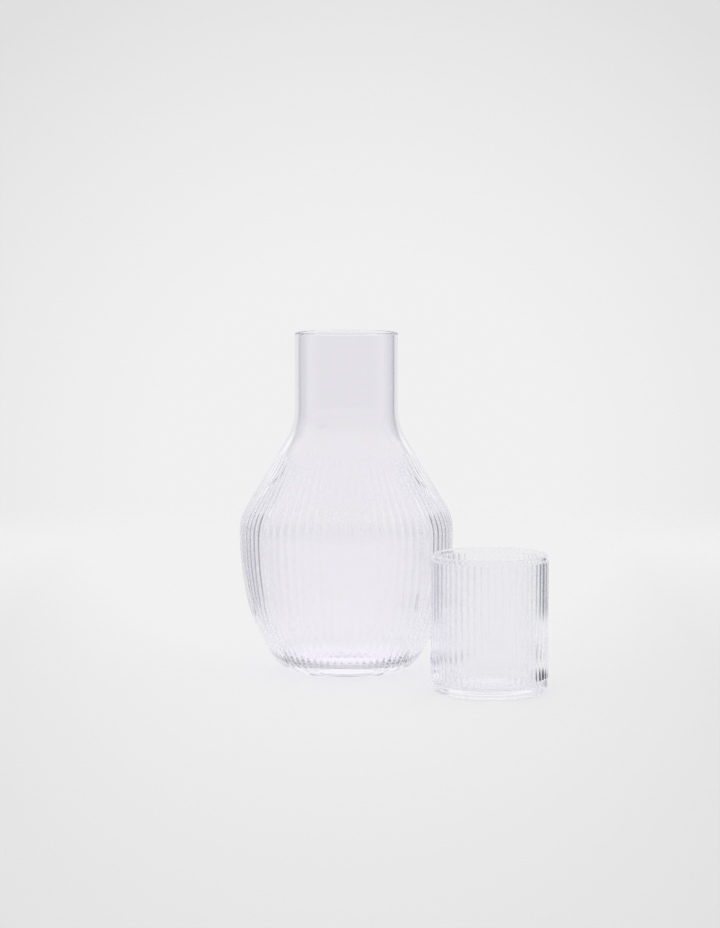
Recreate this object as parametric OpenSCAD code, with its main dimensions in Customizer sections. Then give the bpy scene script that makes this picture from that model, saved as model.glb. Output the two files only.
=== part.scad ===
// Bedside water set: a ribbed glass carafe and the ribbed tumbler that stands beside it.
// Turned upside down, the tumbler slips over the carafe's neck as its cover.
// Millimetres, Z up. The origin is the middle of the ring that the carafe stands on.

/* [Carafe] */
// Height of the carafe from the table to the rim
carafe_h = 190; // [180:1:205]
// Outside diameter of the straight neck
neck_d = 57.4; // [50:0.2:64]
// Radius of the hollow bend between the neck and the cone
neck_bend_r = 34; // [24:1:44]
// Slope of the cone from upright, in degrees
cone_slope = 31; // [28:0.5:35]
// Radius of the shoulder between the cone and the belly
shoulder_r = 26; // [18:1:34]
// Diameter of the belly over its ribs
belly_d = 119.8; // [114:0.2:128]
// Height of the widest place of the belly
belly_z = 79; // [74:0.5:84]
// Radius of the side just below the widest place
side_r = 176; // [150:1:210]
// Angle that the upper side turns through before it tightens, in degrees
side_turn = 12.4; // [10:0.2:15]
// Radius of the lower side
lower_side_r = 89; // [80:1:98]
// Radius of the rounded heel
heel_r = 17.8; // [15:0.2:21]
// Glass thickness of the neck, and of the body over its ribs
carafe_wall = 2.4; // [2:0.1:3.2]
// Glass thickness at the middle of the base
carafe_floor = 3.8; // [3:0.1:6]
// Radius between the wall and the floor inside
inner_heel_r = 19; // [15:0.5:25]
// Rise of the hollow under the base
punt_h = 2; // [1:0.1:3]
// Width of the flat ring that the carafe stands on
land_w = 2.6; // [1.5:0.1:4]

/* [Carafe ribs] */
// Number of ribs around the body
carafe_ribs = 72; // [60:1:80]
// Depth of the grooves between the ribs
groove_depth = 0.65; // [0.4:0.05:0.9]
// Diameter of the cone where the ribs begin
ribs_begin_d = 73; // [71:0.5:78]
// Length over which the ribs rise on the cone
rib_rise = 15; // [10:0.5:20]
// Length over which the ribs run out on the heel
rib_runout = 7; // [5:0.5:9]
// Height at which the ribs end above the table
ribs_end_z = 4.2; // [3.4:0.1:5]

/* [Tumbler] */
// Height of the tumbler from the table to the rim
tumbler_h = 74.2; // [70:0.2:84]
// Glass thickness of the tumbler over its ribs
tumbler_wall = 2.4; // [2:0.1:3]
// Room between the neck and the tumbler turned over it, all round
cover_gap = 0.5; // [0.3:0.1:1.2]
// Glass thickness at the middle of the tumbler's base
tumbler_floor = 3.2; // [2.6:0.1:7]
// Radius between the wall and the floor inside the tumbler
tumbler_inner_heel_r = 4; // [3:0.5:7]
// Radius of the tumbler's rounded heel
tumbler_heel_r = 3.6; // [2.5:0.1:5]
// Rise of the hollow under the tumbler's base
tumbler_punt_h = 0.8; // [0.5:0.1:1.5]
// Width of the flat ring that the tumbler stands on
tumbler_land_w = 3; // [2:0.1:4]

/* [Tumbler ribs] */
// Number of ribs around the tumbler
tumbler_ribs = 56; // [48:1:64]
// Height that the ribs stand out of the tumbler's wall
bead_h = 0.5; // [0.35:0.05:0.6]
// Height of the smooth band below the ribs
foot_band = 6.6; // [5.4:0.2:9]
// Height of the smooth band above the ribs, under the rim
lip_band = 2.2; // [1.8:0.1:4]
// Radius of the rounded ends of the ribs
bead_end_r = 1.4; // [0.9:0.1:2]

/* [Place of the tumbler] */
// Free space between the belly and the tumbler
stand_gap = 11.6; // [6:0.2:40]
// Direction of the tumbler seen from above, turned from the right to the front, in degrees
stand_turn = 41.7; // [0:0.1:90]

/* [Hidden] */
$fn = 180;
glass_clear = [0.86, 0.88, 0.92, 0.55];
glass_tumbler = [0.80, 0.84, 0.90, 0.55];
// The smooth glass is this much within the ribbed wall where they join, on each side
join_step = 0.03;
// Length over which the smooth glass runs on inside the ribbed wall
join_lap = 0.3;
// Directions in a turned outline, in degrees from straight out
inward = 180;
upward = 90;
// Degrees in one radian
radian = 180 / PI;
// Free overrun of a cut past the face that it opens
overrun = 1;
// Rings of points along each stretch of the ribbed wall, and points across one rib
cone_rings = 5;
shoulder_rings = 4;
side_rings = 3;
lower_rings = 4;
heel_rings = 3;
rib_points = 4;
// Straight pieces that stand in for a smooth arc of a turned outline
arc_steps = 10;

// Outer line of the carafe, from the neck down
neck_r = neck_d / 2;
belly_r = belly_d / 2;
shoulder_c = [belly_r - shoulder_r, belly_z];
cone_foot = shoulder_c + shoulder_r * [cos(cone_slope), sin(cone_slope)];
cone_up = [-sin(cone_slope), cos(cone_slope)];
cone_out = [cos(cone_slope), sin(cone_slope)];
cone_top_r = neck_r + neck_bend_r * (1 - cos(cone_slope));
cone_top = cone_foot + (cone_foot[0] - cone_top_r) / sin(cone_slope) * cone_up;
neck_z = cone_top[1] + neck_bend_r * sin(cone_slope);
bend_c = [neck_r + neck_bend_r, neck_z];
side_c = [belly_r - side_r, belly_z];
lower_c = side_c + (side_r - lower_side_r) * [cos(side_turn), -sin(side_turn)];
heel_turn = asin((lower_c[1] - heel_r) / (lower_side_r - heel_r));
heel_c = lower_c + (lower_side_r - heel_r) * [cos(heel_turn), -sin(heel_turn)];

// The ribbed wall lies between these two places of the outer line
ribs_begin_r = ribs_begin_d / 2;
ribs_begin = cone_foot + (cone_foot[0] - ribs_begin_r) / sin(cone_slope) * cone_up;
ribs_end_turn = asin((heel_r - ribs_end_z) / heel_r);

// Inner line of the carafe
neck_in_r = neck_r - carafe_wall;
floor_z = punt_h + carafe_floor;
in_lower_r = lower_side_r - carafe_wall;
in_turn = asin((lower_c[1] - floor_z - inner_heel_r) / (in_lower_r - inner_heel_r));
in_heel_c = lower_c + (in_lower_r - inner_heel_r) * [cos(in_turn), -sin(in_turn)];

// Tumbler
tumbler_in_r = neck_r + cover_gap;
tumbler_r = tumbler_in_r + tumbler_wall;
smooth_r = tumbler_r - bead_h;
tumbler_floor_z = tumbler_punt_h + tumbler_floor;
stand_r = belly_r + stand_gap + tumbler_r;
stand = [stand_r * cos(stand_turn), -stand_r * sin(stand_turn), 0];
// Beads that meet at the smooth wall have this half width and this radius
bead_w = PI * smooth_r / tumbler_ribs;
bead_r = (bead_w * bead_w + bead_h * bead_h) / (2 * bead_h);

// Points of an arc round c in a turned outline, from angle a to angle b
function arc(c, r, a, b, steps = arc_steps) =
  [for (i = [0:steps]) let (t = a + (b - a) * i / steps) c + r * [cos(t), sin(t)]];

// One place on the outer line: the point and the direction out of the glass there
function on_arc(c, r, t) = [c + r * [cos(t), sin(t)], [cos(t), sin(t)]];
function on_cone(share) = [ribs_begin + (cone_foot - ribs_begin) * share, cone_out];

// Places of the rings of the ribbed wall, from its lower end to its upper end
wall_line = concat(
  [for (i = [0:heel_rings - 1])
    on_arc(heel_c, heel_r, -ribs_end_turn + (ribs_end_turn - heel_turn) * i / heel_rings)],
  [for (i = [0:lower_rings - 1])
    on_arc(lower_c, lower_side_r, -heel_turn + (heel_turn - side_turn) * i / lower_rings)],
  [for (i = [0:side_rings - 1])
    on_arc(side_c, side_r, -side_turn + side_turn * i / side_rings)],
  [for (i = [0:shoulder_rings - 1])
    on_arc(shoulder_c, shoulder_r, cone_slope * i / shoulder_rings)],
  [for (i = [cone_rings:-1:0]) on_cone(i / cone_rings)]);
last_ring = len(wall_line) - 1;

// Length of the outer line from its lower end to ring i
function run(i) = i == 0 ? 0 : run(i - 1) + norm(wall_line[i][0] - wall_line[i - 1][0]);
function ease(share) = let (s = min(max(share, 0), 1)) s * s * (3 - 2 * s);

// Share of the full groove depth at ring i: none at both ends of the ribs
function groove_share(i) = ease(run(i) / rib_runout) * ease((run(last_ring) - run(i)) / rib_rise);

// Share of the groove at point k of a rib: 1 in the groove, 0 on the crown
function valley_share(k) = let (across = 2 * (k % rib_points) / rib_points - 1) across * across;

// Point k of ring i of the ribbed wall
function wall_point(i, k) =
  let (place = wall_line[i],
       p = place[0] - groove_depth * groove_share(i) * valley_share(k) * place[1],
       turn = 360 * (k / rib_points - 1 / 2) / carafe_ribs)
  [p[0] * cos(turn), p[0] * sin(turn), p[1]];

// The ribbed wall as one closed solid, with a flat round face at each end
module ribbed_solid() {
  columns = carafe_ribs * rib_points;
  points = [for (i = [0:last_ring], k = [0:columns - 1]) wall_point(i, k)];
  low_hub = len(points);
  high_hub = low_hub + 1;
  hubs = [[0, 0, wall_line[0][0][1]], [0, 0, wall_line[last_ring][0][1]]];
  bands = [for (i = [0:last_ring - 1], k = [0:columns - 1])
    let (a = i * columns + k, b = i * columns + (k + 1) % columns, c = a + columns, d = b + columns)
    each [[a, c, b], [b, c, d]]];
  ends = [for (k = [0:columns - 1])
    let (next = (k + 1) % columns, top = last_ring * columns)
    each [[low_hub, k, next], [high_hub, top + next, top + k]]];
  polyhedron(points = concat(points, hubs), faces = concat(bands, ends));
}

// The smooth neck with the upper cone and a full round rim
module neck() {
  lip_r = carafe_wall / 2;
  in_bend_r = neck_bend_r + carafe_wall;
  lap = ribs_begin - join_lap * cone_up;
  rotate_extrude() polygon(concat(
    [lap - [join_step, 0]],
    arc(bend_c, neck_bend_r, inward + cone_slope, inward),
    arc([neck_r - lip_r, carafe_h - lip_r], lip_r, 0, inward),
    arc(bend_c, in_bend_r, inward, inward + cone_slope),
    [lap - [carafe_wall / cos(cone_slope) - join_step, 0]]));
}

// The solid foot with the heel, the standing ring and the hollow under it
module foot() {
  lap_turn = ribs_end_turn - join_lap / heel_r * radian;
  lap = heel_c + (heel_r - join_step) * [cos(lap_turn), -sin(lap_turn)];
  land_r = heel_c[0] - land_w;
  dome_r = (land_r * land_r + punt_h * punt_h) / (2 * punt_h);
  dome_turn = asin(land_r / dome_r);
  rotate_extrude() polygon(concat(
    [[0, lap[1]], lap],
    arc(heel_c, heel_r, -ribs_end_turn - upward / arc_steps, -upward),
    arc([0, punt_h - dome_r], dome_r, upward - dome_turn, upward)));
}

// The room inside the body, from the floor to where the smooth neck begins
module body_room() {
  in_top = ribs_begin - [carafe_wall / cos(cone_slope), 0];
  above = overrun * cone_up / cone_up[1];
  rotate_extrude() polygon(concat(
    [[0, floor_z]],
    arc(in_heel_c, inner_heel_r, -upward, -in_turn),
    arc(lower_c, in_lower_r, -in_turn, -side_turn),
    arc(side_c, side_r - carafe_wall, -side_turn, 0),
    arc(shoulder_c, shoulder_r - carafe_wall, 0, cone_slope),
    [in_top + above, [0, in_top[1] + overrun]]));
}

module carafe() {
  color(glass_clear) union() {
    difference() {
      ribbed_solid();
      body_room();
    }
    neck();
    foot();
  }
}

// Turned outline of the tumbler without its ribs
function tumbler_outline() =
  let (lip_r = (tumbler_wall - bead_h) / 2,
       heel = [smooth_r - tumbler_heel_r, tumbler_heel_r],
       inner_heel = [tumbler_in_r - tumbler_inner_heel_r, tumbler_floor_z + tumbler_inner_heel_r],
       land_r = heel[0] - tumbler_land_w,
       dome_r = (land_r * land_r + tumbler_punt_h * tumbler_punt_h) / (2 * tumbler_punt_h),
       dome_turn = asin(land_r / dome_r))
  concat(
    arc([0, tumbler_punt_h - dome_r], dome_r, upward, upward - dome_turn),
    arc(heel, tumbler_heel_r, -upward, 0),
    arc([smooth_r - lip_r, tumbler_h - lip_r], lip_r, 0, inward),
    arc(inner_heel, tumbler_inner_heel_r, 0, -upward),
    [[0, tumbler_floor_z]]);

// The half-round ribs of the tumbler, with rounded ends
module beads() {
  low = foot_band;
  high = tumbler_h - lip_band;
  deep_r = smooth_r - (tumbler_wall - bead_h) / 2;
  clear_r = tumbler_r + join_step;
  tip_r = clear_r - bead_end_r;
  intersection() {
    linear_extrude(height = tumbler_h) difference() {
      for (i = [0:tumbler_ribs - 1])
        rotate(360 * i / tumbler_ribs) translate([tumbler_r - bead_r, 0]) circle(r = bead_r);
      circle(r = deep_r);
    }
    rotate_extrude() polygon(concat(
      [[0, low]],
      arc([tip_r, low + bead_end_r], bead_end_r, -upward, 0),
      arc([tip_r, high - bead_end_r], bead_end_r, 0, upward),
      [[0, high]]));
  }
}

module tumbler() {
  color(glass_tumbler) translate(stand) union() {
    rotate_extrude() polygon(tumbler_outline());
    beads();
  }
}

carafe();
tumbler();
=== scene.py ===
"""Looks of a bedside water set: a ribbed glass carafe and the ribbed tumbler that stands beside it."""

import logging
import math
from dataclasses import dataclass
from enum import Enum
from typing import Any, Optional

import bpy
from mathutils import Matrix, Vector


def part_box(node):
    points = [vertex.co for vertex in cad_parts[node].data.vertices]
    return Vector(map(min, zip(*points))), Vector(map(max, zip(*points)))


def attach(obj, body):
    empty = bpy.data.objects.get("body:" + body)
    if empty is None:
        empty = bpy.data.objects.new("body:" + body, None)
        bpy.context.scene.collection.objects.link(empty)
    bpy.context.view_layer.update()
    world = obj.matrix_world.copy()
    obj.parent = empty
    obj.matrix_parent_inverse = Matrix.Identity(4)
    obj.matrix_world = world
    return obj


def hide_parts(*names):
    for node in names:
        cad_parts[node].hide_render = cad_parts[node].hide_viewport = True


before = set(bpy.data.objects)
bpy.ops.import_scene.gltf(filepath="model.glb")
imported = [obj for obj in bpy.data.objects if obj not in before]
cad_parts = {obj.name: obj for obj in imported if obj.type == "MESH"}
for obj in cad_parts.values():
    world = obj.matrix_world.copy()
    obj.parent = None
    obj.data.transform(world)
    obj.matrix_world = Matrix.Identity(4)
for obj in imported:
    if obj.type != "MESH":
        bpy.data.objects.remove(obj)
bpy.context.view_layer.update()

LOG = logging.getLogger("water_set")
MM = 0.001
# Vertices nearer than this are one vertex: the seam and the poles of a turned piece
WELD = 1e-6
# Sockets of the Mix node that belong to colours: the share, the two colours and the result
MIX_SHARE, MIX_UNDER, MIX_OVER, MIX_RESULT = 0, 6, 7, 2
# A card with its top edge at this angle shows only on the floor
FLOOR_ONLY = -90.0
# Share of a distance over which a card ends on the floor, to either side
FLOOR_EDGE = 0.1
# Angles between which the inner edge of a standing ring is worn round, in degrees
WORN_FROM, WORN_TO = -150, -90
Pair = tuple[float, float]
# The axis on the table, and the plain ways out of the glass, in the plane of an outline
MIDDLE: Pair = (0.0, 0.0)
OUTWARD: Pair = (1.0, 0.0)
INWARD: Pair = (-1.0, 0.0)
UP: Pair = (0.0, 1.0)
DOWN: Pair = (0.0, -1.0)
Tree = bpy.types.NodeTree
Socket = bpy.types.NodeSocket


class Ray(Enum):
    """What the studio asks of a ray, as the Light Path node names it."""

    CAMERA = "Is Camera Ray"
    GLOSSY = "Is Glossy Ray"
    TRANSMISSION = "Is Transmission Ray"
    MIRRORED = "Glossy Depth"
    SCATTERED = "Diffuse Depth"


def linear(hex_colour: str) -> tuple[float, float, float, float]:
    """Turns an sRGB hex colour into linear light.

    Args:
        hex_colour: The colour as "#RRGGBB".

    Returns:
        Red, green, blue and alpha 1.
    """
    parts = [int(hex_colour[i:i + 2], 16) / 255 for i in (1, 3, 5)]
    light = [p / 12.92 if p <= 0.04045 else ((p + 0.055) / 1.055) ** 2.4 for p in parts]
    return (light[0], light[1], light[2], 1.0)


def add_node(
    tree: Tree,
    kind: str,
    settings: Optional[dict[str, Any]] = None,
    inputs: Optional[dict[Any, Any]] = None,
) -> bpy.types.Node:
    """Adds a node with its settings and its inputs.

    Args:
        tree: The node tree that gets the node.
        kind: The node's type name.
        settings: Properties of the node by name.
        inputs: Input sockets by name or index, each with a value or with the output socket to link.

    Returns:
        The new node.
    """
    node = tree.nodes.new(kind)
    for name, value in (settings or {}).items():
        setattr(node, name, value)
    for socket, value in (inputs or {}).items():
        if isinstance(value, bpy.types.NodeSocket):
            tree.links.new(value, node.inputs[socket])
        else:
            node.inputs[socket].default_value = value
    return node


def maths(tree: Tree, operation: str, *values: Any, clamp: bool = False) -> Socket:
    """Works a number out in a node tree.

    Args:
        tree: The node tree.
        operation: What the Math node does.
        values: What it works with, each a number or a socket.
        clamp: Whether the result is kept from 0 to 1.

    Returns:
        The result.
    """
    settings = {"operation": operation, "use_clamp": clamp}
    return add_node(tree, "ShaderNodeMath", settings, dict(enumerate(values))).outputs[0]


def soft_step(tree: Tree, value: Socket, start: float, end: float, most: Any = 1.0) -> Socket:
    """Makes a soft step from 0 up, as a value goes through a range.

    Args:
        tree: The node tree.
        value: The value.
        start: Where the step starts. It may be above the end.
        end: Where the step ends.
        most: What it rises to, as a number or a socket.

    Returns:
        The height of the step at the value.
    """
    return add_node(tree, "ShaderNodeMapRange", {"interpolation_type": "SMOOTHSTEP"}, {
        "Value": value, "From Min": start, "From Max": end, "To Max": most}).outputs["Result"]


def blend(tree: Tree, share: Socket, under: Any, over: Any) -> Socket:
    """Lays a share of one colour over another.

    Args:
        tree: The node tree.
        share: The share of the upper colour.
        under: The lower colour, as a value or a socket.
        over: The upper colour, as a value or a socket.

    Returns:
        The blended colour.
    """
    return add_node(tree, "ShaderNodeMix", {"data_type": "RGBA"}, {
        MIX_SHARE: share, MIX_UNDER: under, MIX_OVER: over}).outputs[MIX_RESULT]


def blank_tree(owner: Any) -> Tree:
    """Gives a material or a world an empty node tree.

    Args:
        owner: The material or world.

    Returns:
        Its node tree, with no node in it.
    """
    owner.use_nodes = True
    owner.node_tree.nodes.clear()
    return owner.node_tree


def plain_object(name: str, vertices: list[Any], edges: list[Any], faces: list[Any]) -> bpy.types.Object:
    """Makes a mesh object at the origin and puts it in the scene.

    Args:
        name: Name of the object and its mesh.
        vertices: Points in metres.
        edges: Pairs of points.
        faces: Loops of points.

    Returns:
        The object.
    """
    mesh = bpy.data.meshes.new(name)
    mesh.from_pydata(vertices, edges, faces)
    made = bpy.data.objects.new(name, mesh)
    bpy.context.scene.collection.objects.link(made)
    return made


@dataclass(frozen=True)
class BlownGlass:
    """Clear borosilicate glass, blown into a ribbed mould and polished by the flame.

    The flame leaves it without a grain: what shows is how unevenly the hot glass ran. The wall waves
    a little over some 20 mm, and more finely where the mould chilled it, so the lines that it bends
    are never quite straight. A trace of lavender grey shows through its walls and along them.
    """

    name: str
    # What one wall takes out of the light that passes it
    tint: str
    # It bends light a little less than soda-lime glass, which has 1.52
    ior: float = 1.48
    # What the thickness takes out, for each metre of glass
    depth_tint: str = "#D2D2EE"
    depth_density: float = 1.0
    # Length and height of the slow waves of the wall, in millimetres, and how many scales they mix
    wave_length: float = 19.0
    wave_height: float = 0.02
    wave_detail: float = 1.0
    # The same for the chill marks of the mould
    chill_length: float = 4.5
    chill_height: float = 0.001
    chill_detail: float = 2.0
    # Film of wiped water that dulls the polish here and there, over patches of this length
    film_length: float = 34.0
    film_detail: float = 3.0
    film_roughness: float = 0.012
    # The film is absent below the first of these values of its noise, and full above the second
    film_range: Pair = (0.52, 0.68)

    def _noise(self, tree: Tree, place: Socket, length: float, detail: float) -> Socket:
        """Adds a noise.

        Args:
            tree: The material's node tree.
            place: The point that is shaded.
            length: Length of its waves, in millimetres.
            detail: How many finer scales it mixes in.

        Returns:
            The noise, around a half.
        """
        return add_node(tree, "ShaderNodeTexNoise", inputs={
            "Vector": place, "Scale": 1 / (length * MM), "Detail": detail}).outputs["Fac"]

    def material(self) -> bpy.types.Material:
        """Makes the material.

        Returns:
            The material, on Object coordinates.
        """
        glass = bpy.data.materials.new(self.name)
        tree = blank_tree(glass)
        place = add_node(tree, "ShaderNodeTexCoord").outputs["Object"]
        film = self._noise(tree, place, self.film_length, self.film_detail)
        rough = soft_step(tree, film, *self.film_range, self.film_roughness)
        slow = add_node(tree, "ShaderNodeBump", inputs={
            "Height": self._noise(tree, place, self.wave_length, self.wave_detail),
            "Strength": 1.0, "Distance": self.wave_height * MM})
        fine = add_node(tree, "ShaderNodeBump", inputs={
            "Height": self._noise(tree, place, self.chill_length, self.chill_detail),
            "Strength": 1.0, "Distance": self.chill_height * MM, "Normal": slow.outputs["Normal"]})
        shader = add_node(tree, "ShaderNodeBsdfPrincipled", inputs={
            "Base Color": linear(self.tint), "Roughness": rough,
            "IOR": self.ior, "Transmission Weight": 1.0, "Normal": fine.outputs["Normal"]})
        depth = add_node(tree, "ShaderNodeVolumeAbsorption", inputs={
            "Color": linear(self.depth_tint), "Density": self.depth_density})
        add_node(tree, "ShaderNodeOutputMaterial", inputs={
            "Surface": shader.outputs["BSDF"], "Volume": depth.outputs["Volume"]})
        return glass


@dataclass(frozen=True)
class Ring:
    """One ring of a turned piece, in millimetres: its radius, its height and the way out of the glass."""

    radius: float
    height: float
    # The last ring, on the axis, has no use for it
    out: Pair = MIDDLE
    # Share of the full groove depth on this ring
    share: float = 0.0


def around(centre: Pair, radius: float, turn: float) -> Pair:
    """Gives the point of a circle in the plane of an outline.

    Args:
        centre: Middle of the circle.
        radius: Its radius.
        turn: Angle from straight out, in degrees.

    Returns:
        The point.
    """
    angle = math.radians(turn)
    return (centre[0] + radius * math.cos(angle), centre[1] + radius * math.sin(angle))


def arc(centre: Pair, radius: float, start: float, end: float, steps: int) -> list[Ring]:
    """Makes the rings along an arc of an outline.

    Args:
        centre: Middle of the arc.
        radius: Its radius.
        start: Angle of the first ring, in degrees.
        end: Angle of the last ring, in degrees.
        steps: Number of equal steps from the first ring to the last.

    Returns:
        The rings, with the direction away from the centre.
    """
    rings = []
    for i in range(steps + 1):
        turn = start + (end - start) * i / steps
        point, out = around(centre, radius, turn), around(MIDDLE, 1, turn)
        rings.append(Ring(point[0], point[1], out))
    return rings


def nested_arc(middle: Pair, big_r: float, small_r: float, lowest: float) -> tuple[Pair, float]:
    """Fits an arc inside a bigger one so that it touches a level.

    Args:
        middle: Middle of the bigger arc.
        big_r: Its radius.
        small_r: Radius of the arc to fit.
        lowest: Height of the level that the smaller arc touches.

    Returns:
        The smaller arc's middle and the angle below the horizontal at which the two meet.
    """
    turn = math.degrees(math.asin((middle[1] - lowest - small_r) / (big_r - small_r)))
    return around(middle, big_r - small_r, -turn), turn


def stretch(start: Pair, end: Pair, out: Pair, steps: int = 1, margin: float = 0.0) -> list[Ring]:
    """Makes the rings along a straight stretch of an outline, without its two ends.

    Args:
        start: Where the stretch starts.
        end: Where it ends.
        out: Direction out of the glass.
        steps: Number of equal steps.
        margin: Distance from both ends to one more ring, which keeps the smooth shading of the curves
            at the ends off the straight wall. With 0 there are no such rings.

    Returns:
        The rings between the two ends.
    """
    shares = [i / steps for i in range(1, steps)]
    if margin:
        near = margin / math.dist(start, end)
        shares = [near] + shares + [1 - near]
    return [
        Ring(start[0] + (end[0] - start[0]) * t, start[1] + (end[1] - start[1]) * t, out)
        for t in shares
    ]


def hollow(rise: float, half_width: float, steps: int) -> list[Ring]:
    """Makes the rings of the hollow under a base, from its middle to its edge.

    Args:
        rise: Height of the hollow's middle above the table.
        half_width: Radius of the hollow where it meets the table.
        steps: Number of steps.

    Returns:
        The rings, the last of them on the table.
    """
    radius = (half_width ** 2 + rise ** 2) / (2 * rise)
    turn = math.degrees(math.asin(half_width / radius))
    return arc((0, rise - radius), radius, 90, 90 - turn, steps)


def underside(rise: float, land_r: float, edge_r: float, margin: float) -> list[Ring]:
    """Makes the rings under a base, from its middle to the flat of the standing ring.

    Args:
        rise: Height of the hollow's middle above the table.
        land_r: Inner radius of the standing ring.
        edge_r: Radius to which the ring's inner edge is worn.
        margin: Distance from the worn edge to the last ring of the hollow.

    Returns:
        The rings, the last of them on the table.
    """
    inner = hollow(rise, land_r, steps=7)[:-1]
    edge = arc((land_r + edge_r, edge_r), edge_r, WORN_FROM, WORN_TO, steps=4)
    start, end = ((ring.radius, ring.height) for ring in (inner[-1], edge[0]))
    return inner + stretch(start, end, DOWN, margin=margin) + edge


def level_floor(edge_r: float, height: float, margin: float) -> list[Ring]:
    """Makes the rings of a level floor inside, from its edge to the axis.

    Args:
        edge_r: Radius at which the floor starts.
        height: Its height.
        margin: Distance from the floor's edge and from the axis to the rings nearest to them.

    Returns:
        The rings, the last of them on the axis.
    """
    rings = stretch((edge_r, height), (0.0, height), UP, steps=2, margin=margin)
    return rings + [Ring(0.0, height)]


def ease(share: float) -> float:
    """Smooths a share from 0 to 1 so that it starts and ends level."""
    held = min(max(share, 0.0), 1.0)
    return held * held * (3 - 2 * held)


class RibbedGlassTree:
    """The geometry nodes that turn an outline into one closed, ribbed piece of glass."""

    INPUTS = (
        ("Outline", "NodeSocketGeometry"),
        ("Ribs", "NodeSocketInt"),
        ("Points per rib", "NodeSocketInt"),
        ("Groove depth", "NodeSocketFloat"),
        ("Place", "NodeSocketVector"),
        ("Weld", "NodeSocketFloat"),
        ("Glass", "NodeSocketMaterial"),
    )
    SHARE = "groove_share"
    OUT = "way_out"

    def __init__(self) -> None:
        """Makes the tree."""
        self.tree = bpy.data.node_groups.new("ribbed_turned_glass", "GeometryNodeTree")
        for name, kind in self.INPUTS:
            self.tree.interface.new_socket(name, in_out="INPUT", socket_type=kind)
        self.tree.interface.new_socket("Glassware", in_out="OUTPUT", socket_type="NodeSocketGeometry")
        self._link(add_node(self.tree, "NodeGroupInput").outputs)

    def _whole(self, operation: str, first: Any, second: Any) -> Socket:
        """Works a whole number out.

        Args:
            operation: What the Integer Math node does.
            first: Its first number or socket.
            second: Its second number or socket.

        Returns:
            The result.
        """
        return add_node(self.tree, "FunctionNodeIntegerMath", {"operation": operation}, {
            0: first, 1: second}).outputs[0]

    def _on_ring(self, kind: str, field: Socket, outline: Socket, ring: Socket) -> Socket:
        """Reads a value of the outline's ring.

        Args:
            kind: The value's type.
            field: What is read.
            outline: The outline.
            ring: Number of the ring.

        Returns:
            The value.
        """
        return add_node(self.tree, "GeometryNodeSampleIndex", {"data_type": kind}, {
            "Geometry": outline, "Value": field, "Index": ring}).outputs[0]

    def _link(self, given: Any) -> None:
        """Adds the nodes.

        Args:
            given: The tree's own inputs.
        """
        tree, outline, ribs, rib_points = self.tree, given["Outline"], given["Ribs"], given["Points per rib"]
        rings = add_node(tree, "GeometryNodeAttributeDomainSize", inputs={"Geometry": outline})
        count = rings.outputs["Point Count"]
        columns = self._whole("ADD", self._whole("MULTIPLY", ribs, rib_points), 1)
        grid = add_node(tree, "GeometryNodeMeshGrid", inputs={"Vertices X": columns, "Vertices Y": count})
        index = add_node(tree, "GeometryNodeInputIndex").outputs[0]
        ring = self._whole("MODULO", index, count)
        column = self._whole("DIVIDE_FLOOR", index, count)

        place = add_node(tree, "GeometryNodeInputPosition").outputs[0]
        out = add_node(tree, "GeometryNodeInputNamedAttribute", {"data_type": "FLOAT_VECTOR"}, {
            "Name": self.OUT}).outputs[0]
        share = add_node(tree, "GeometryNodeInputNamedAttribute", {"data_type": "FLOAT"}, {
            "Name": self.SHARE}).outputs[0]
        ring_place = self._on_ring("FLOAT_VECTOR", place, outline, ring)
        ring_out = self._on_ring("FLOAT_VECTOR", out, outline, ring)
        ring_share = self._on_ring("FLOAT", share, outline, ring)

        # Where the column stands across its rib: 0 and 1 in the grooves, a half on the crown
        ribs_on = maths(tree, "DIVIDE", column, rib_points)
        across = maths(tree, "FRACT", ribs_on)
        from_crown = maths(tree, "MULTIPLY_ADD", across, 2.0, -1.0)
        valley = maths(tree, "MULTIPLY", from_crown, from_crown)
        here = maths(tree, "MULTIPLY", valley, ring_share)
        depth = maths(tree, "MULTIPLY", here, given["Groove depth"])
        cut = add_node(tree, "ShaderNodeVectorMath", {"operation": "SCALE"}, {0: ring_out, "Scale": depth})
        wall = add_node(tree, "ShaderNodeVectorMath", {"operation": "SUBTRACT"}, {
            0: ring_place, 1: cut.outputs[0]})

        half_rib = maths(tree, "SUBTRACT", ribs_on, 0.5)
        angle = maths(tree, "MULTIPLY", maths(tree, "DIVIDE", half_rib, ribs), math.tau)
        turned = add_node(tree, "ShaderNodeVectorRotate", {"rotation_type": "Z_AXIS"}, {
            "Vector": wall.outputs[0], "Angle": angle})
        at_home = add_node(tree, "ShaderNodeVectorMath", {"operation": "ADD"}, {
            0: turned.outputs[0], 1: given["Place"]})
        shell = add_node(tree, "GeometryNodeSetPosition", inputs={
            "Geometry": grid.outputs["Mesh"], "Position": at_home.outputs[0]})
        closed = add_node(tree, "GeometryNodeMergeByDistance", inputs={
            "Geometry": shell.outputs[0], "Distance": given["Weld"]})
        smooth = add_node(tree, "GeometryNodeSetShadeSmooth", inputs={"Geometry": closed.outputs[0]})
        real = add_node(tree, "GeometryNodeRealizeInstances", inputs={"Geometry": smooth.outputs[0]})
        dressed = add_node(tree, "GeometryNodeSetMaterial", inputs={
            "Geometry": real.outputs[0], "Material": given["Glass"]})
        add_node(tree, "NodeGroupOutput", inputs={"Glassware": dressed.outputs[0]})

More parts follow.
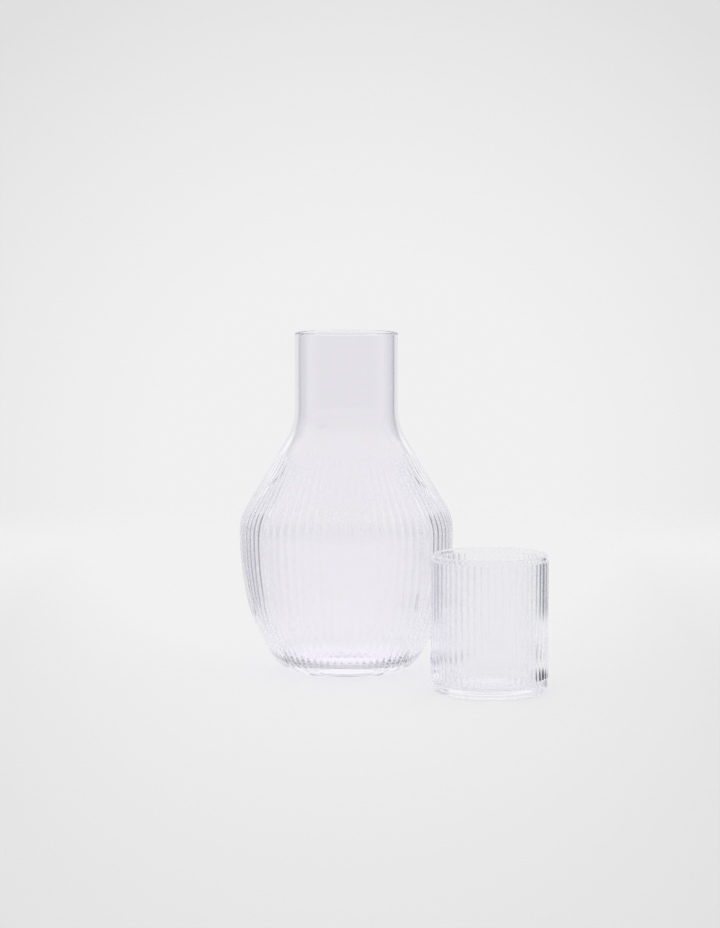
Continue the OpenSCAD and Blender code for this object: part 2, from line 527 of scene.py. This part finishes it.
    def make(self, name: str, rings: list[Ring], values: dict[str, Any]) -> bpy.types.Object:
        """Runs the tree on an outline and keeps the result as a plain mesh.

        Args:
            name: Name of the piece.
            rings: The outline, from the axis under the base to the axis on the floor inside.
            values: The tree's other inputs by name.

        Returns:
            The piece, at the origin, with no modifier.
        """
        line = plain_object(
            name + "_outline",
            [(r.radius * MM, 0.0, r.height * MM) for r in rings],
            [(i, i + 1) for i in range(len(rings) - 1)], [])
        shares = line.data.attributes.new(self.SHARE, "FLOAT", "POINT")
        shares.data.foreach_set("value", [r.share for r in rings])
        ways = line.data.attributes.new(self.OUT, "FLOAT_VECTOR", "POINT")
        ways.data.foreach_set("vector", [x for r in rings for x in (r.out[0], 0.0, r.out[1])])
        modifier = line.modifiers.new("ribs", "NODES")
        modifier.node_group = self.tree
        for item in self.tree.interface.items_tree:
            if item.in_out == "INPUT" and item.name in values:
                modifier[item.identifier] = values[item.name]
        graph = bpy.context.evaluated_depsgraph_get()
        mesh = bpy.data.meshes.new_from_object(line.evaluated_get(graph))
        bpy.data.objects.remove(line)
        mesh.name = name
        piece = bpy.data.objects.new(name, mesh)
        bpy.context.scene.collection.objects.link(piece)
        return piece


@dataclass
class TurnedGlass:
    """A turned piece of glassware with ribs pressed into its outside. Sizes are in millimetres."""

    name: str
    node: str
    body: str
    glass: BlownGlass
    ribs: int
    groove_depth: float
    rib_points: int
    # Distance from the end of a straight wall to its first ring
    margin: float = 0.3

    def outline(self) -> list[Ring]:
        """Gives the rings of the piece, from the axis under its base to the axis on its floor."""
        raise NotImplementedError

    def place(self) -> Vector:
        """Gives the foot of the piece's axis, in metres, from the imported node."""
        low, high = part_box(self.node)
        return Vector(((low.x + high.x) / 2, (low.y + high.y) / 2, low.z))

    def build(self, tree: RibbedGlassTree) -> bpy.types.Object:
        """Makes the piece and dresses it.

        Args:
            tree: The geometry nodes that make it.

        Returns:
            The piece, riding on its body.
        """
        piece = tree.make(self.name, self.outline(), {
            "Ribs": self.ribs,
            "Points per rib": self.rib_points,
            "Groove depth": self.groove_depth * MM,
            "Place": self.place(),
            "Weld": WELD,
            "Glass": self.glass.material(),
        })
        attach(piece, self.body)
        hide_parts(self.node)
        return piece


@dataclass
class Carafe(TurnedGlass):
    """The carafe: straight neck, hollow bend, cone, ribbed belly and heel, standing ring."""

    height: float = 190.0
    neck_d: float = 57.4
    neck_bend_r: float = 34.0
    cone_slope: float = 31.0
    shoulder_r: float = 26.0
    belly_d: float = 119.8
    belly_z: float = 79.0
    side_r: float = 176.0
    side_turn: float = 12.4
    lower_side_r: float = 89.0
    heel_r: float = 17.8
    wall: float = 2.4
    floor: float = 3.8
    inner_heel_r: float = 19.0
    punt_h: float = 2.0
    land_w: float = 2.6
    # Radius to which the edge of the standing ring is worn
    land_edge_r: float = 0.5
    ribs_begin_d: float = 73.0
    rib_rise: float = 15.0
    rib_runout: float = 7.0
    ribs_end_z: float = 4.2

    def _centres(self) -> dict[str, Pair]:
        """Works out the places that the outline is made from.

        Returns:
            The middles of its arcs and the foot of its cone, by name.
        """
        shoulder = (self.belly_d / 2 - self.shoulder_r, self.belly_z)
        cone_foot = around(shoulder, self.shoulder_r, self.cone_slope)
        slope = math.radians(self.cone_slope)
        top_r = self.neck_d / 2 + self.neck_bend_r * (1 - math.cos(slope))
        up = (cone_foot[0] - top_r) / math.sin(slope)
        neck_z = cone_foot[1] + up * math.cos(slope) + self.neck_bend_r * math.sin(slope)
        side = (self.belly_d / 2 - self.side_r, self.belly_z)
        lower = around(side, self.side_r - self.lower_side_r, -self.side_turn)
        return {
            "shoulder": shoulder, "side": side, "lower": lower, "cone_foot": cone_foot,
            "bend": (self.neck_d / 2 + self.neck_bend_r, neck_z),
        }

    def outline(self) -> list[Ring]:
        """Makes the rings of the carafe.

        Returns:
            The rings, from the axis under its base to the axis on its floor.
        """
        mid = self._centres()
        slope, neck_r = self.cone_slope, self.neck_d / 2
        lip_r = self.wall / 2
        heel, heel_turn = nested_arc(mid["lower"], self.lower_side_r, self.heel_r, 0.0)
        floor_z = self.punt_h + self.floor
        in_lower_r = self.lower_side_r - self.wall
        in_heel, in_turn = nested_arc(mid["lower"], in_lower_r, self.inner_heel_r, floor_z)
        land_r = heel[0] - self.land_w
        bend_out = around(mid["bend"], self.neck_bend_r, 180 + slope)
        cone_out = around(MIDDLE, 1, slope)
        outside = (
            arc(heel, self.heel_r, -90, -heel_turn, steps=16)
            + arc(mid["lower"], self.lower_side_r, -heel_turn, -self.side_turn, steps=16)[1:]
            + arc(mid["side"], self.side_r, -self.side_turn, 0, steps=8)[1:]
            + arc(mid["shoulder"], self.shoulder_r, 0, slope, steps=10)[1:]
            + stretch(mid["cone_foot"], bend_out, cone_out, steps=16)
        )
        neck_z, lip_z, bore_r = mid["bend"][1], self.height - lip_r, neck_r - self.wall
        neck = (
            arc(mid["bend"], self.neck_bend_r, 180 + slope, 180, steps=10)
            + stretch((neck_r, neck_z), (neck_r, lip_z), OUTWARD, margin=self.margin)
            + arc((neck_r - lip_r, lip_z), lip_r, 0, 180, steps=12)
            + stretch((bore_r, lip_z), (bore_r, neck_z), INWARD, margin=self.margin)
            + arc(mid["bend"], self.neck_bend_r + self.wall, 180, 180 + slope, steps=9)
        )
        bend_in = around(mid["bend"], self.neck_bend_r + self.wall, 180 + slope)
        shoulder_in = around(mid["shoulder"], self.shoulder_r - self.wall, slope)
        inside = (
            stretch(bend_in, shoulder_in, around(MIDDLE, -1, slope), margin=self.margin)
            + arc(mid["shoulder"], self.shoulder_r - self.wall, slope, 0, steps=9)
            + arc(mid["side"], self.side_r - self.wall, 0, -self.side_turn, steps=5)[1:]
            + arc(mid["lower"], in_lower_r, -self.side_turn, -in_turn, steps=11)[1:]
            + arc(in_heel, self.inner_heel_r, -in_turn, -90, steps=11)[1:]
            + level_floor(in_heel[0], floor_z, self.margin)
        )
        under = underside(self.punt_h, land_r, self.land_edge_r, self.margin)
        return under + self._ribbed(outside) + neck + inside

    def _ribbed(self, rings: list[Ring]) -> list[Ring]:
        """Gives each ring of the outside its share of the groove depth.

        Args:
            rings: Rings from the standing ring up to the neck's bend.

        Returns:
            The same rings, with no groove below the ribs' ends and above their beginning.
        """
        runs, run = [], 0.0
        for i, ring in enumerate(rings):
            if i:
                run += math.dist((ring.radius, ring.height), (rings[i - 1].radius, rings[i - 1].height))
            runs.append(run)
        low = next(s for s, r in zip(runs, rings) if r.height >= self.ribs_end_z)
        high = next(
            s for s, r in zip(runs, rings)
            if r.height > self.belly_z and 2 * r.radius <= self.ribs_begin_d)
        return [
            Ring(r.radius, r.height, r.out,
                 ease((s - low) / self.rib_runout) * ease((high - s) / self.rib_rise))
            for s, r in zip(runs, rings)
        ]


@dataclass
class Tumbler(TurnedGlass):
    """The tumbler: straight wall with round-ended ribs, smooth bands at the rim and foot, thick base."""

    height: float = 74.2
    wall: float = 2.4
    inner_d: float = 58.4
    floor: float = 3.2
    inner_heel_r: float = 4.0
    heel_r: float = 3.6
    punt_h: float = 0.8
    land_w: float = 3.0
    # Radius to which the edge of the standing ring is worn
    land_edge_r: float = 0.4
    foot_band: float = 6.6
    lip_band: float = 2.2
    bead_end_r: float = 1.4

    def outline(self) -> list[Ring]:
        """Makes the rings of the tumbler.

        Returns:
            The rings, from the axis under its base to the axis on its floor.
        """
        in_r = self.inner_d / 2
        crown_r = in_r + self.wall
        smooth_r = crown_r - self.groove_depth
        lip_r = (smooth_r - in_r) / 2
        floor_z = self.punt_h + self.floor
        heel = (smooth_r - self.heel_r, self.heel_r)
        inner_heel = (in_r - self.inner_heel_r, floor_z + self.inner_heel_r)
        inner_start = (in_r, inner_heel[1])
        land_r = heel[0] - self.land_w
        tip_r = crown_r - self.bead_end_r
        start = math.degrees(math.acos((smooth_r - tip_r) / self.bead_end_r))
        low, high = self.foot_band + self.bead_end_r, self.height - self.lip_band - self.bead_end_r
        beads = (
            arc((tip_r, low), self.bead_end_r, -start, 0, steps=7)
            + stretch((crown_r, low), (crown_r, high), OUTWARD, steps=4, margin=self.margin)
            + arc((tip_r, high), self.bead_end_r, 0, start, steps=7)
        )
        ribbed = [
            Ring(r.radius, r.height, OUTWARD, (r.radius - smooth_r) / self.groove_depth)
            for r in beads
        ]
        bead_end = self.bead_end_r * math.sin(math.radians(start))
        lip_z = self.height - lip_r
        return (
            underside(self.punt_h, land_r, self.land_edge_r, self.margin)
            + arc(heel, self.heel_r, -90, 0, steps=10)
            + stretch((smooth_r, self.heel_r), (smooth_r, low - bead_end), OUTWARD, margin=self.margin)
            + ribbed
            + stretch((smooth_r, high + bead_end), (smooth_r, lip_z), OUTWARD, margin=self.margin)
            + arc((smooth_r - lip_r, lip_z), lip_r, 0, 180, steps=12)
            + stretch((in_r, lip_z), inner_start, INWARD, margin=self.margin)
            + arc(inner_heel, self.inner_heel_r, 0, -90, steps=10)
            + level_floor(inner_heel[0], floor_z, self.margin)
        )


@dataclass(frozen=True)
class EdgeCard:
    """Painted reflection of a dark card beside the set, as glassware is photographed: it draws edges and
    grooves.

    It is painted into the backdrop and onto the floor, and only light that a wall has thrown back sees it.
    Angles are in degrees, clockwise from straight ahead.
    """

    # Angles of its two sides
    az: Pair
    # Height of its top edge, and how softly that edge and the two sides end
    top: float
    soft: float
    # Between these distances from the middle of the set it shows on the floor, in metres
    floor_r: Pair
    colour: str

    def _over(self, tree: Tree, az: Socket, edge: Socket, under: Any) -> Socket:
        """Lays the card's colour over another.

        Args:
            tree: The node tree.
            az: Angle around the set, in degrees.
            edge: The share of the card that its top edge or its ends on the floor leave.
            under: The colour that it covers.

        Returns:
            The colour with the card.
        """
        start, end = self.az
        width = maths(
            tree, "MULTIPLY",
            soft_step(tree, az, start - self.soft, start + self.soft),
            soft_step(tree, az, end + self.soft, end - self.soft))
        return blend(tree, maths(tree, "MULTIPLY", width, edge), under, linear(self.colour))

    def in_air(self, tree: Tree, az: Socket, el: Socket, under: Any) -> Socket:
        """Draws the card in the backdrop.

        Args:
            tree: The world's node tree.
            az: Angle around the set, in degrees.
            el: Angle above the horizon, in degrees.
            under: The backdrop's colour.

        Returns:
            The colour with the card.
        """
        edge = soft_step(tree, el, self.top + self.soft, self.top - self.soft)
        return self._over(tree, az, edge, under)

    def on_floor(self, tree: Tree, az: Socket, far: Socket, under: Any) -> Socket:
        """Draws the card's part on the floor.

        Args:
            tree: The floor's node tree.
            az: Angle around the set, in degrees.
            far: Distance from the middle of the set, in metres.
            under: The floor's colour.

        Returns:
            The colour with the card.
        """
        near_r, far_r = self.floor_r
        less, more = 1 - FLOOR_EDGE, 1 + FLOOR_EDGE
        starts = soft_step(tree, far, less * near_r, more * near_r)
        edge = soft_step(tree, far, more * far_r, less * far_r, starts)
        return self._over(tree, az, edge, under)


def angle_around(tree: Tree, way: Socket) -> Socket:
    """Gives the angle of a direction around +Z.

    Args:
        tree: The node tree.
        way: The direction.

    Returns:
        The angle in degrees, clockwise from +Y.
    """
    parts = add_node(tree, "ShaderNodeSeparateXYZ", inputs={"Vector": way}).outputs
    return maths(tree, "DEGREES", maths(tree, "ARCTAN2", parts["X"], parts["Y"]))


def mirrored_share(tree: Tree) -> Socket:
    """Tells the light that a glass wall threw back, and that the floor didn't scatter, from all other.

    Args:
        tree: The node tree.

    Returns:
        1 for that light and 0 for other.
    """
    rays = add_node(tree, "ShaderNodeLightPath").outputs
    thrown = maths(tree, "MINIMUM", rays[Ray.MIRRORED.value], 1.0)
    straight = maths(tree, "SUBTRACT", 1.0, rays[Ray.SCATTERED.value], clamp=True)
    return maths(tree, "MULTIPLY", thrown, straight)


@dataclass(frozen=True)
class PaintedFloor:
    """Smooth board painted matt white, with no gloss, that melts into the backdrop at its rim."""

    name: str = "matt_painted_board"
    pale: str = "#F1F1F1"
    vignette_shade: str = "#DADADA"
    # Painted shade, a vignette: as the camera sees it, the board is painted dimmer to the sides, up to a
    # share, and to the front
    side_fall: float = 11.0
    side_most: float = 0.5
    front_fall: float = 0.85
    # The board melts into the backdrop between these two radii, in metres
    solid_r: float = 0.55
    fade_r: float = 0.95
    # Through the glass and in it the paint is pale all over, and this near the carafe's axis. It stands
    # in for the light that the hollow foot gathers, and the camera doesn't see it beside the glass
    gathered: str = "#FFFFFF"
    # It is whole within the first of these radii from the axis and ends at the second, in metres
    gathered_r: Pair = (0.022, 0.065)

    def _plain(self, tree: Tree, place: Socket) -> Socket:
        """Gives the paint as the camera sees it past the glass, with painted shade that darkens it to the
        sides and the front.

        Args:
            tree: The node tree.
            place: The point of the board.

        Returns:
            The colour.
        """
        parts = add_node(tree, "ShaderNodeSeparateXYZ", inputs={"Vector": place}).outputs
        front = maths(tree, "MULTIPLY", parts["Y"], -self.front_fall)
        side = maths(tree, "MINIMUM", maths(tree, "POWER", parts["X"], 2.0), self.side_most / self.side_fall)
        # Painted shade: the vignette's fall-off, darker to the sides and the front
        fall = maths(tree, "MULTIPLY_ADD", side, self.side_fall, front, clamp=True)
        return blend(tree, fall, linear(self.pale), linear(self.vignette_shade))

    def _in_glass(
        self, tree: Tree, place: Socket, cards: tuple[EdgeCard, ...], middle: Vector, axis: Vector,
    ) -> Socket:
        """Gives the paint as it shows through the glass and in it, with a painted pool of light near the
        carafe's axis and the painted cards.

        Args:
            tree: The node tree.
            place: The point of the board.
            cards: The cards beside the set.
            middle: The middle of the set on the floor.
            axis: Where the carafe's axis meets the floor.

        Returns:
            The colour.
        """
        whole_r, end_r = self.gathered_r
        off = add_node(tree, "ShaderNodeVectorMath", {"operation": "DISTANCE"}, {0: place, 1: axis})
        under_foot = soft_step(tree, off.outputs["Value"], end_r, whole_r)
        lit = blend(tree, under_foot, linear(self.pale), linear(self.gathered))
        from_set = add_node(tree, "ShaderNodeVectorMath", {"operation": "SUBTRACT"}, {
            0: place, 1: middle}).outputs[0]
        az = angle_around(tree, from_set)
        far = add_node(tree, "ShaderNodeVectorMath", {"operation": "LENGTH"}, {0: from_set})
        carded = lit
        for card in cards:
            carded = card.on_floor(tree, az, far.outputs["Value"], carded)
        return blend(tree, mirrored_share(tree), lit, carded)

    def material(self, cards: tuple[EdgeCard, ...], middle: Vector, axis: Vector) -> bpy.types.Material:
        """Makes the material.

        Args:
            cards: The cards beside the set.
            middle: The middle of the set on the floor.
            axis: Where the carafe's axis meets the floor.

        Returns:
            The material, on Object coordinates.
        """
        board = bpy.data.materials.new(self.name)
        tree = blank_tree(board)
        place = add_node(tree, "ShaderNodeTexCoord").outputs["Object"]
        rays = add_node(tree, "ShaderNodeLightPath").outputs
        in_glass = self._in_glass(tree, place, cards, middle, axis)
        colour = blend(tree, rays[Ray.CAMERA.value], in_glass, self._plain(tree, place))
        matt = add_node(tree, "ShaderNodeBsdfDiffuse", inputs={"Color": colour})
        out = add_node(tree, "ShaderNodeVectorMath", {"operation": "LENGTH"}, {0: place})
        fade = soft_step(tree, out.outputs["Value"], self.solid_r, self.fade_r)
        clear = add_node(tree, "ShaderNodeBsdfTransparent")
        both = add_node(tree, "ShaderNodeMixShader", inputs={
            0: fade, 1: matt.outputs[0], 2: clear.outputs[0]})
        add_node(tree, "ShaderNodeOutputMaterial", inputs={"Surface": both.outputs[0]})
        return board


@dataclass
class Studio:
    """The pale floor, the backdrop, the soft light and the camera. Lengths are in metres."""

    floor: PaintedFloor
    cards: tuple[EdgeCard, ...]
    floor_sides: int = 128
    # The floor lies this far under the glass, so that no two faces share a place
    floor_drop: float = 0.00005
    camera_place: tuple[float, float, float] = (0.0076, -1.4755, 0.2523)
    camera_pitch: float = 84.73
    camera_clip: Pair = (0.05, 20.0)
    lens_mm: float = 102.74
    sensor_mm: float = 36.0
    # The middle of the set, from which the cards are laid out on the floor
    middle: tuple[float, float, float] = (0.03, -0.025, 0.0)
    # The backdrop, and painted shade on it, a vignette: how fast and how far it is painted darker away from
    # the middle of the camera's view
    backdrop: str = "#F0F0F0"
    vignette_fall: float = 3.3
    fall_start: float = 0.0057
    fall_most: float = 0.126
    # The fall ends softly between these two angles from the middle, in degrees
    fall_ends: Pair = (18.0, 27.0)
    # The fall is worked out down to this cosine of the angle from the middle
    fall_least: float = 0.5
    # The backdrop through the glass, without that fall and a little darker: the smooth neck's tone
    backdrop_through: str = "#EBEBEB"
    # What a wall mirrors of the backdrop low down. Between these two heights it becomes the ceiling
    backdrop_mirrored: str = "#E7E7EA"
    backdrop_el: Pair = (2.0, 14.0)
    # What a wall mirrors from behind the camera: the room low down, and the white ceiling above it
    room: str = "#C8C8CC"
    ceiling: str = "#FFFFFF"
    # The backdrop becomes the room between these two angles to either side
    room_az: Pair = (80.0, 120.0)
    # The room becomes the ceiling between these two heights
    room_el: Pair = (8.0, 50.0)
    light: str = "#FFFFFF"
    light_strength: float = 1.0
    light_bounces: int = 64
    floor_bounces: int = 8
    fade_bounces: int = 16

    def build_floor(self) -> bpy.types.Object:
        """Makes the floor.

        Returns:
            The floor.
        """
        sides = [math.tau * i / self.floor_sides for i in range(self.floor_sides)]
        fade_r = self.floor.fade_r
        rim = [(fade_r * math.cos(a), fade_r * math.sin(a), -self.floor_drop) for a in sides]
        board = plain_object("studio_floor", rim, [], [list(range(self.floor_sides))])
        axis = Vector((0.0, 0.0, -self.floor_drop))
        board.data.materials.append(self.floor.material(self.cards, Vector(self.middle), axis))
        return board

    def _direct(self, tree: Tree, way: Socket) -> Socket:
        """Gives the backdrop as the camera sees it past the glass, with painted shade, a vignette, darker
        towards the corners.

        Args:
            tree: The world's node tree.
            way: The direction of the ray.

        Returns:
            The colour.
        """
        pitch = math.radians(self.camera_pitch - 90)
        ahead = add_node(tree, "ShaderNodeVectorMath", {"operation": "DOT_PRODUCT"}, {
            0: way, 1: (0.0, math.cos(pitch), math.sin(pitch))}).outputs["Value"]
        # One over the squared cosine is one plus the squared tangent
        inverse = maths(tree, "POWER", maths(tree, "MAXIMUM", ahead, self.fall_least), -2.0)
        tangent = maths(tree, "SUBTRACT", inverse, 1.0 + self.fall_start, clamp=True)
        fall = maths(tree, "MULTIPLY", tangent, self.vignette_fall)
        most = maths(tree, "MINIMUM", fall, self.fall_most)
        near, far = (math.cos(math.radians(a)) for a in self.fall_ends)
        # Painted vignette: the shade that darkens the backdrop towards the corners
        painted_vignette = maths(tree, "MULTIPLY", most, soft_step(tree, ahead, far, near))
        return add_node(tree, "ShaderNodeVectorMath", {"operation": "SUBTRACT"}, {
            0: linear(self.backdrop)[:3], 1: painted_vignette}).outputs[0]

    def _surround(self, tree: Tree, way: Socket) -> Socket:
        """Gives the studio as the glass mirrors it: backdrop, room, ceiling and the dark cards.

        Args:
            tree: The world's node tree.
            way: The direction of the ray.

        Returns:
            The colour.
        """
        az = angle_around(tree, way)
        up = add_node(tree, "ShaderNodeSeparateXYZ", inputs={"Vector": way}).outputs["Z"]
        el = maths(tree, "DEGREES", maths(tree, "ARCSINE", up))
        ceiling = linear(self.ceiling)
        behind = blend(tree, soft_step(tree, el, *self.room_el), linear(self.room), ceiling)
        ahead = blend(
            tree, soft_step(tree, el, *self.backdrop_el), linear(self.backdrop_mirrored), ceiling)
        back = soft_step(tree, maths(tree, "ABSOLUTE", az), *self.room_az)
        colour = blend(tree, back, ahead, behind)
        for card in self.cards:
            colour = card.in_air(tree, az, el, colour)
        return colour

    def build_backdrop(self) -> bpy.types.World:
        """Makes the backdrop, what the glass mirrors and the soft light, all in the world.

        Returns:
            The world.
        """
        world = bpy.data.worlds.new("studio")
        bpy.context.scene.world = world
        tree = blank_tree(world)
        way = add_node(tree, "ShaderNodeTexCoord").outputs["Generated"]
        rays = add_node(tree, "ShaderNodeLightPath").outputs
        camera = rays[Ray.CAMERA.value]
        unmirrored = blend(tree, camera, linear(self.backdrop_through), self._direct(tree, way))
        colour = blend(tree, mirrored_share(tree), unmirrored, self._surround(tree, way))
        seen = maths(tree, "ADD", camera, rays[Ray.GLOSSY.value])
        seen = maths(tree, "ADD", seen, rays[Ray.TRANSMISSION.value], clamp=True)
        seen = maths(tree, "SUBTRACT", seen, rays[Ray.SCATTERED.value], clamp=True)
        backdrop = add_node(tree, "ShaderNodeBackground", inputs={"Color": colour})
        light = add_node(tree, "ShaderNodeBackground", inputs={
            "Color": linear(self.light), "Strength": self.light_strength})
        both = add_node(tree, "ShaderNodeMixShader", inputs={
            0: seen, 1: light.outputs[0], 2: backdrop.outputs[0]})
        add_node(tree, "ShaderNodeOutputWorld", inputs={"Surface": both.outputs[0]})
        return world

    def build_camera(self) -> bpy.types.Object:
        """Makes the camera at the photograph's place.

        Returns:
            The camera.
        """
        data = bpy.data.cameras.new("camera")
        data.lens, data.sensor_width = self.lens_mm, self.sensor_mm
        data.clip_start, data.clip_end = self.camera_clip
        camera = bpy.data.objects.new("camera", data)
        camera.location = self.camera_place
        camera.rotation_euler = (math.radians(self.camera_pitch), 0.0, 0.0)
        bpy.context.scene.collection.objects.link(camera)
        bpy.context.scene.camera = camera
        return camera

    def set_light_paths(self) -> None:
        """Lets light go far enough through the thick bases, and keeps it sharp on its way."""
        cycles = bpy.context.scene.cycles
        cycles.max_bounces = cycles.transmission_bounces = cycles.glossy_bounces = self.light_bounces
        cycles.diffuse_bounces = self.floor_bounces
        cycles.transparent_max_bounces = self.fade_bounces
        cycles.blur_glossy = 0.0
        bpy.context.scene.view_settings.view_transform = "Standard"


def main() -> None:
    """Builds the studio, the carafe and the tumbler."""
    logging.basicConfig(level=logging.INFO, format="%(name)s: %(message)s")
    cards = (
        # Left: the grooves near the carafe's left edge
        EdgeCard(az=(-71.0, -40.0), top=24.0, soft=5.0, floor_r=(0.19, 2.0), colour="#A0A2AA"),
        # Right: the grooves near its right edge, and the dark bar high on the tumbler's right side
        EdgeCard(az=(37.0, 67.0), top=20.0, soft=5.0, floor_r=(0.30, 2.0), colour="#94969E"),
        # Right, on the floor: painted shadow, a dark strip by the tumbler's right side that the glass
        # mirrors: the streaks low on that side
        EdgeCard(az=(86.0, 112.0), top=FLOOR_ONLY, soft=3.0, floor_r=(0.086, 0.135), colour="#404248"),
        # And a paler strip farther out
        EdgeCard(az=(82.0, 92.0), top=FLOOR_ONLY, soft=3.0, floor_r=(0.17, 0.36), colour="#9A9CA2"),
    )
    studio = Studio(PaintedFloor(), cards)
    studio.build_camera()
    studio.build_floor()
    studio.build_backdrop()
    studio.set_light_paths()
    tree = RibbedGlassTree()
    for glassware in (
        Carafe(
            "ribbed_carafe", node="carafe", body="carafe",
            glass=BlownGlass("blown_carafe_glass", tint="#FDFCFF"),
            ribs=72, groove_depth=0.65, rib_points=8),
        Tumbler(
            "ribbed_tumbler", node="tumbler", body="tumbler",
            glass=BlownGlass("blown_tumbler_glass", tint="#FBFBFD"),
            ribs=56, groove_depth=0.5, rib_points=10),
    ):
        piece = glassware.build(tree)
        LOG.info("%s: %d faces", piece.name, len(piece.data.polygons))


if __name__ == "__main__":
    main()
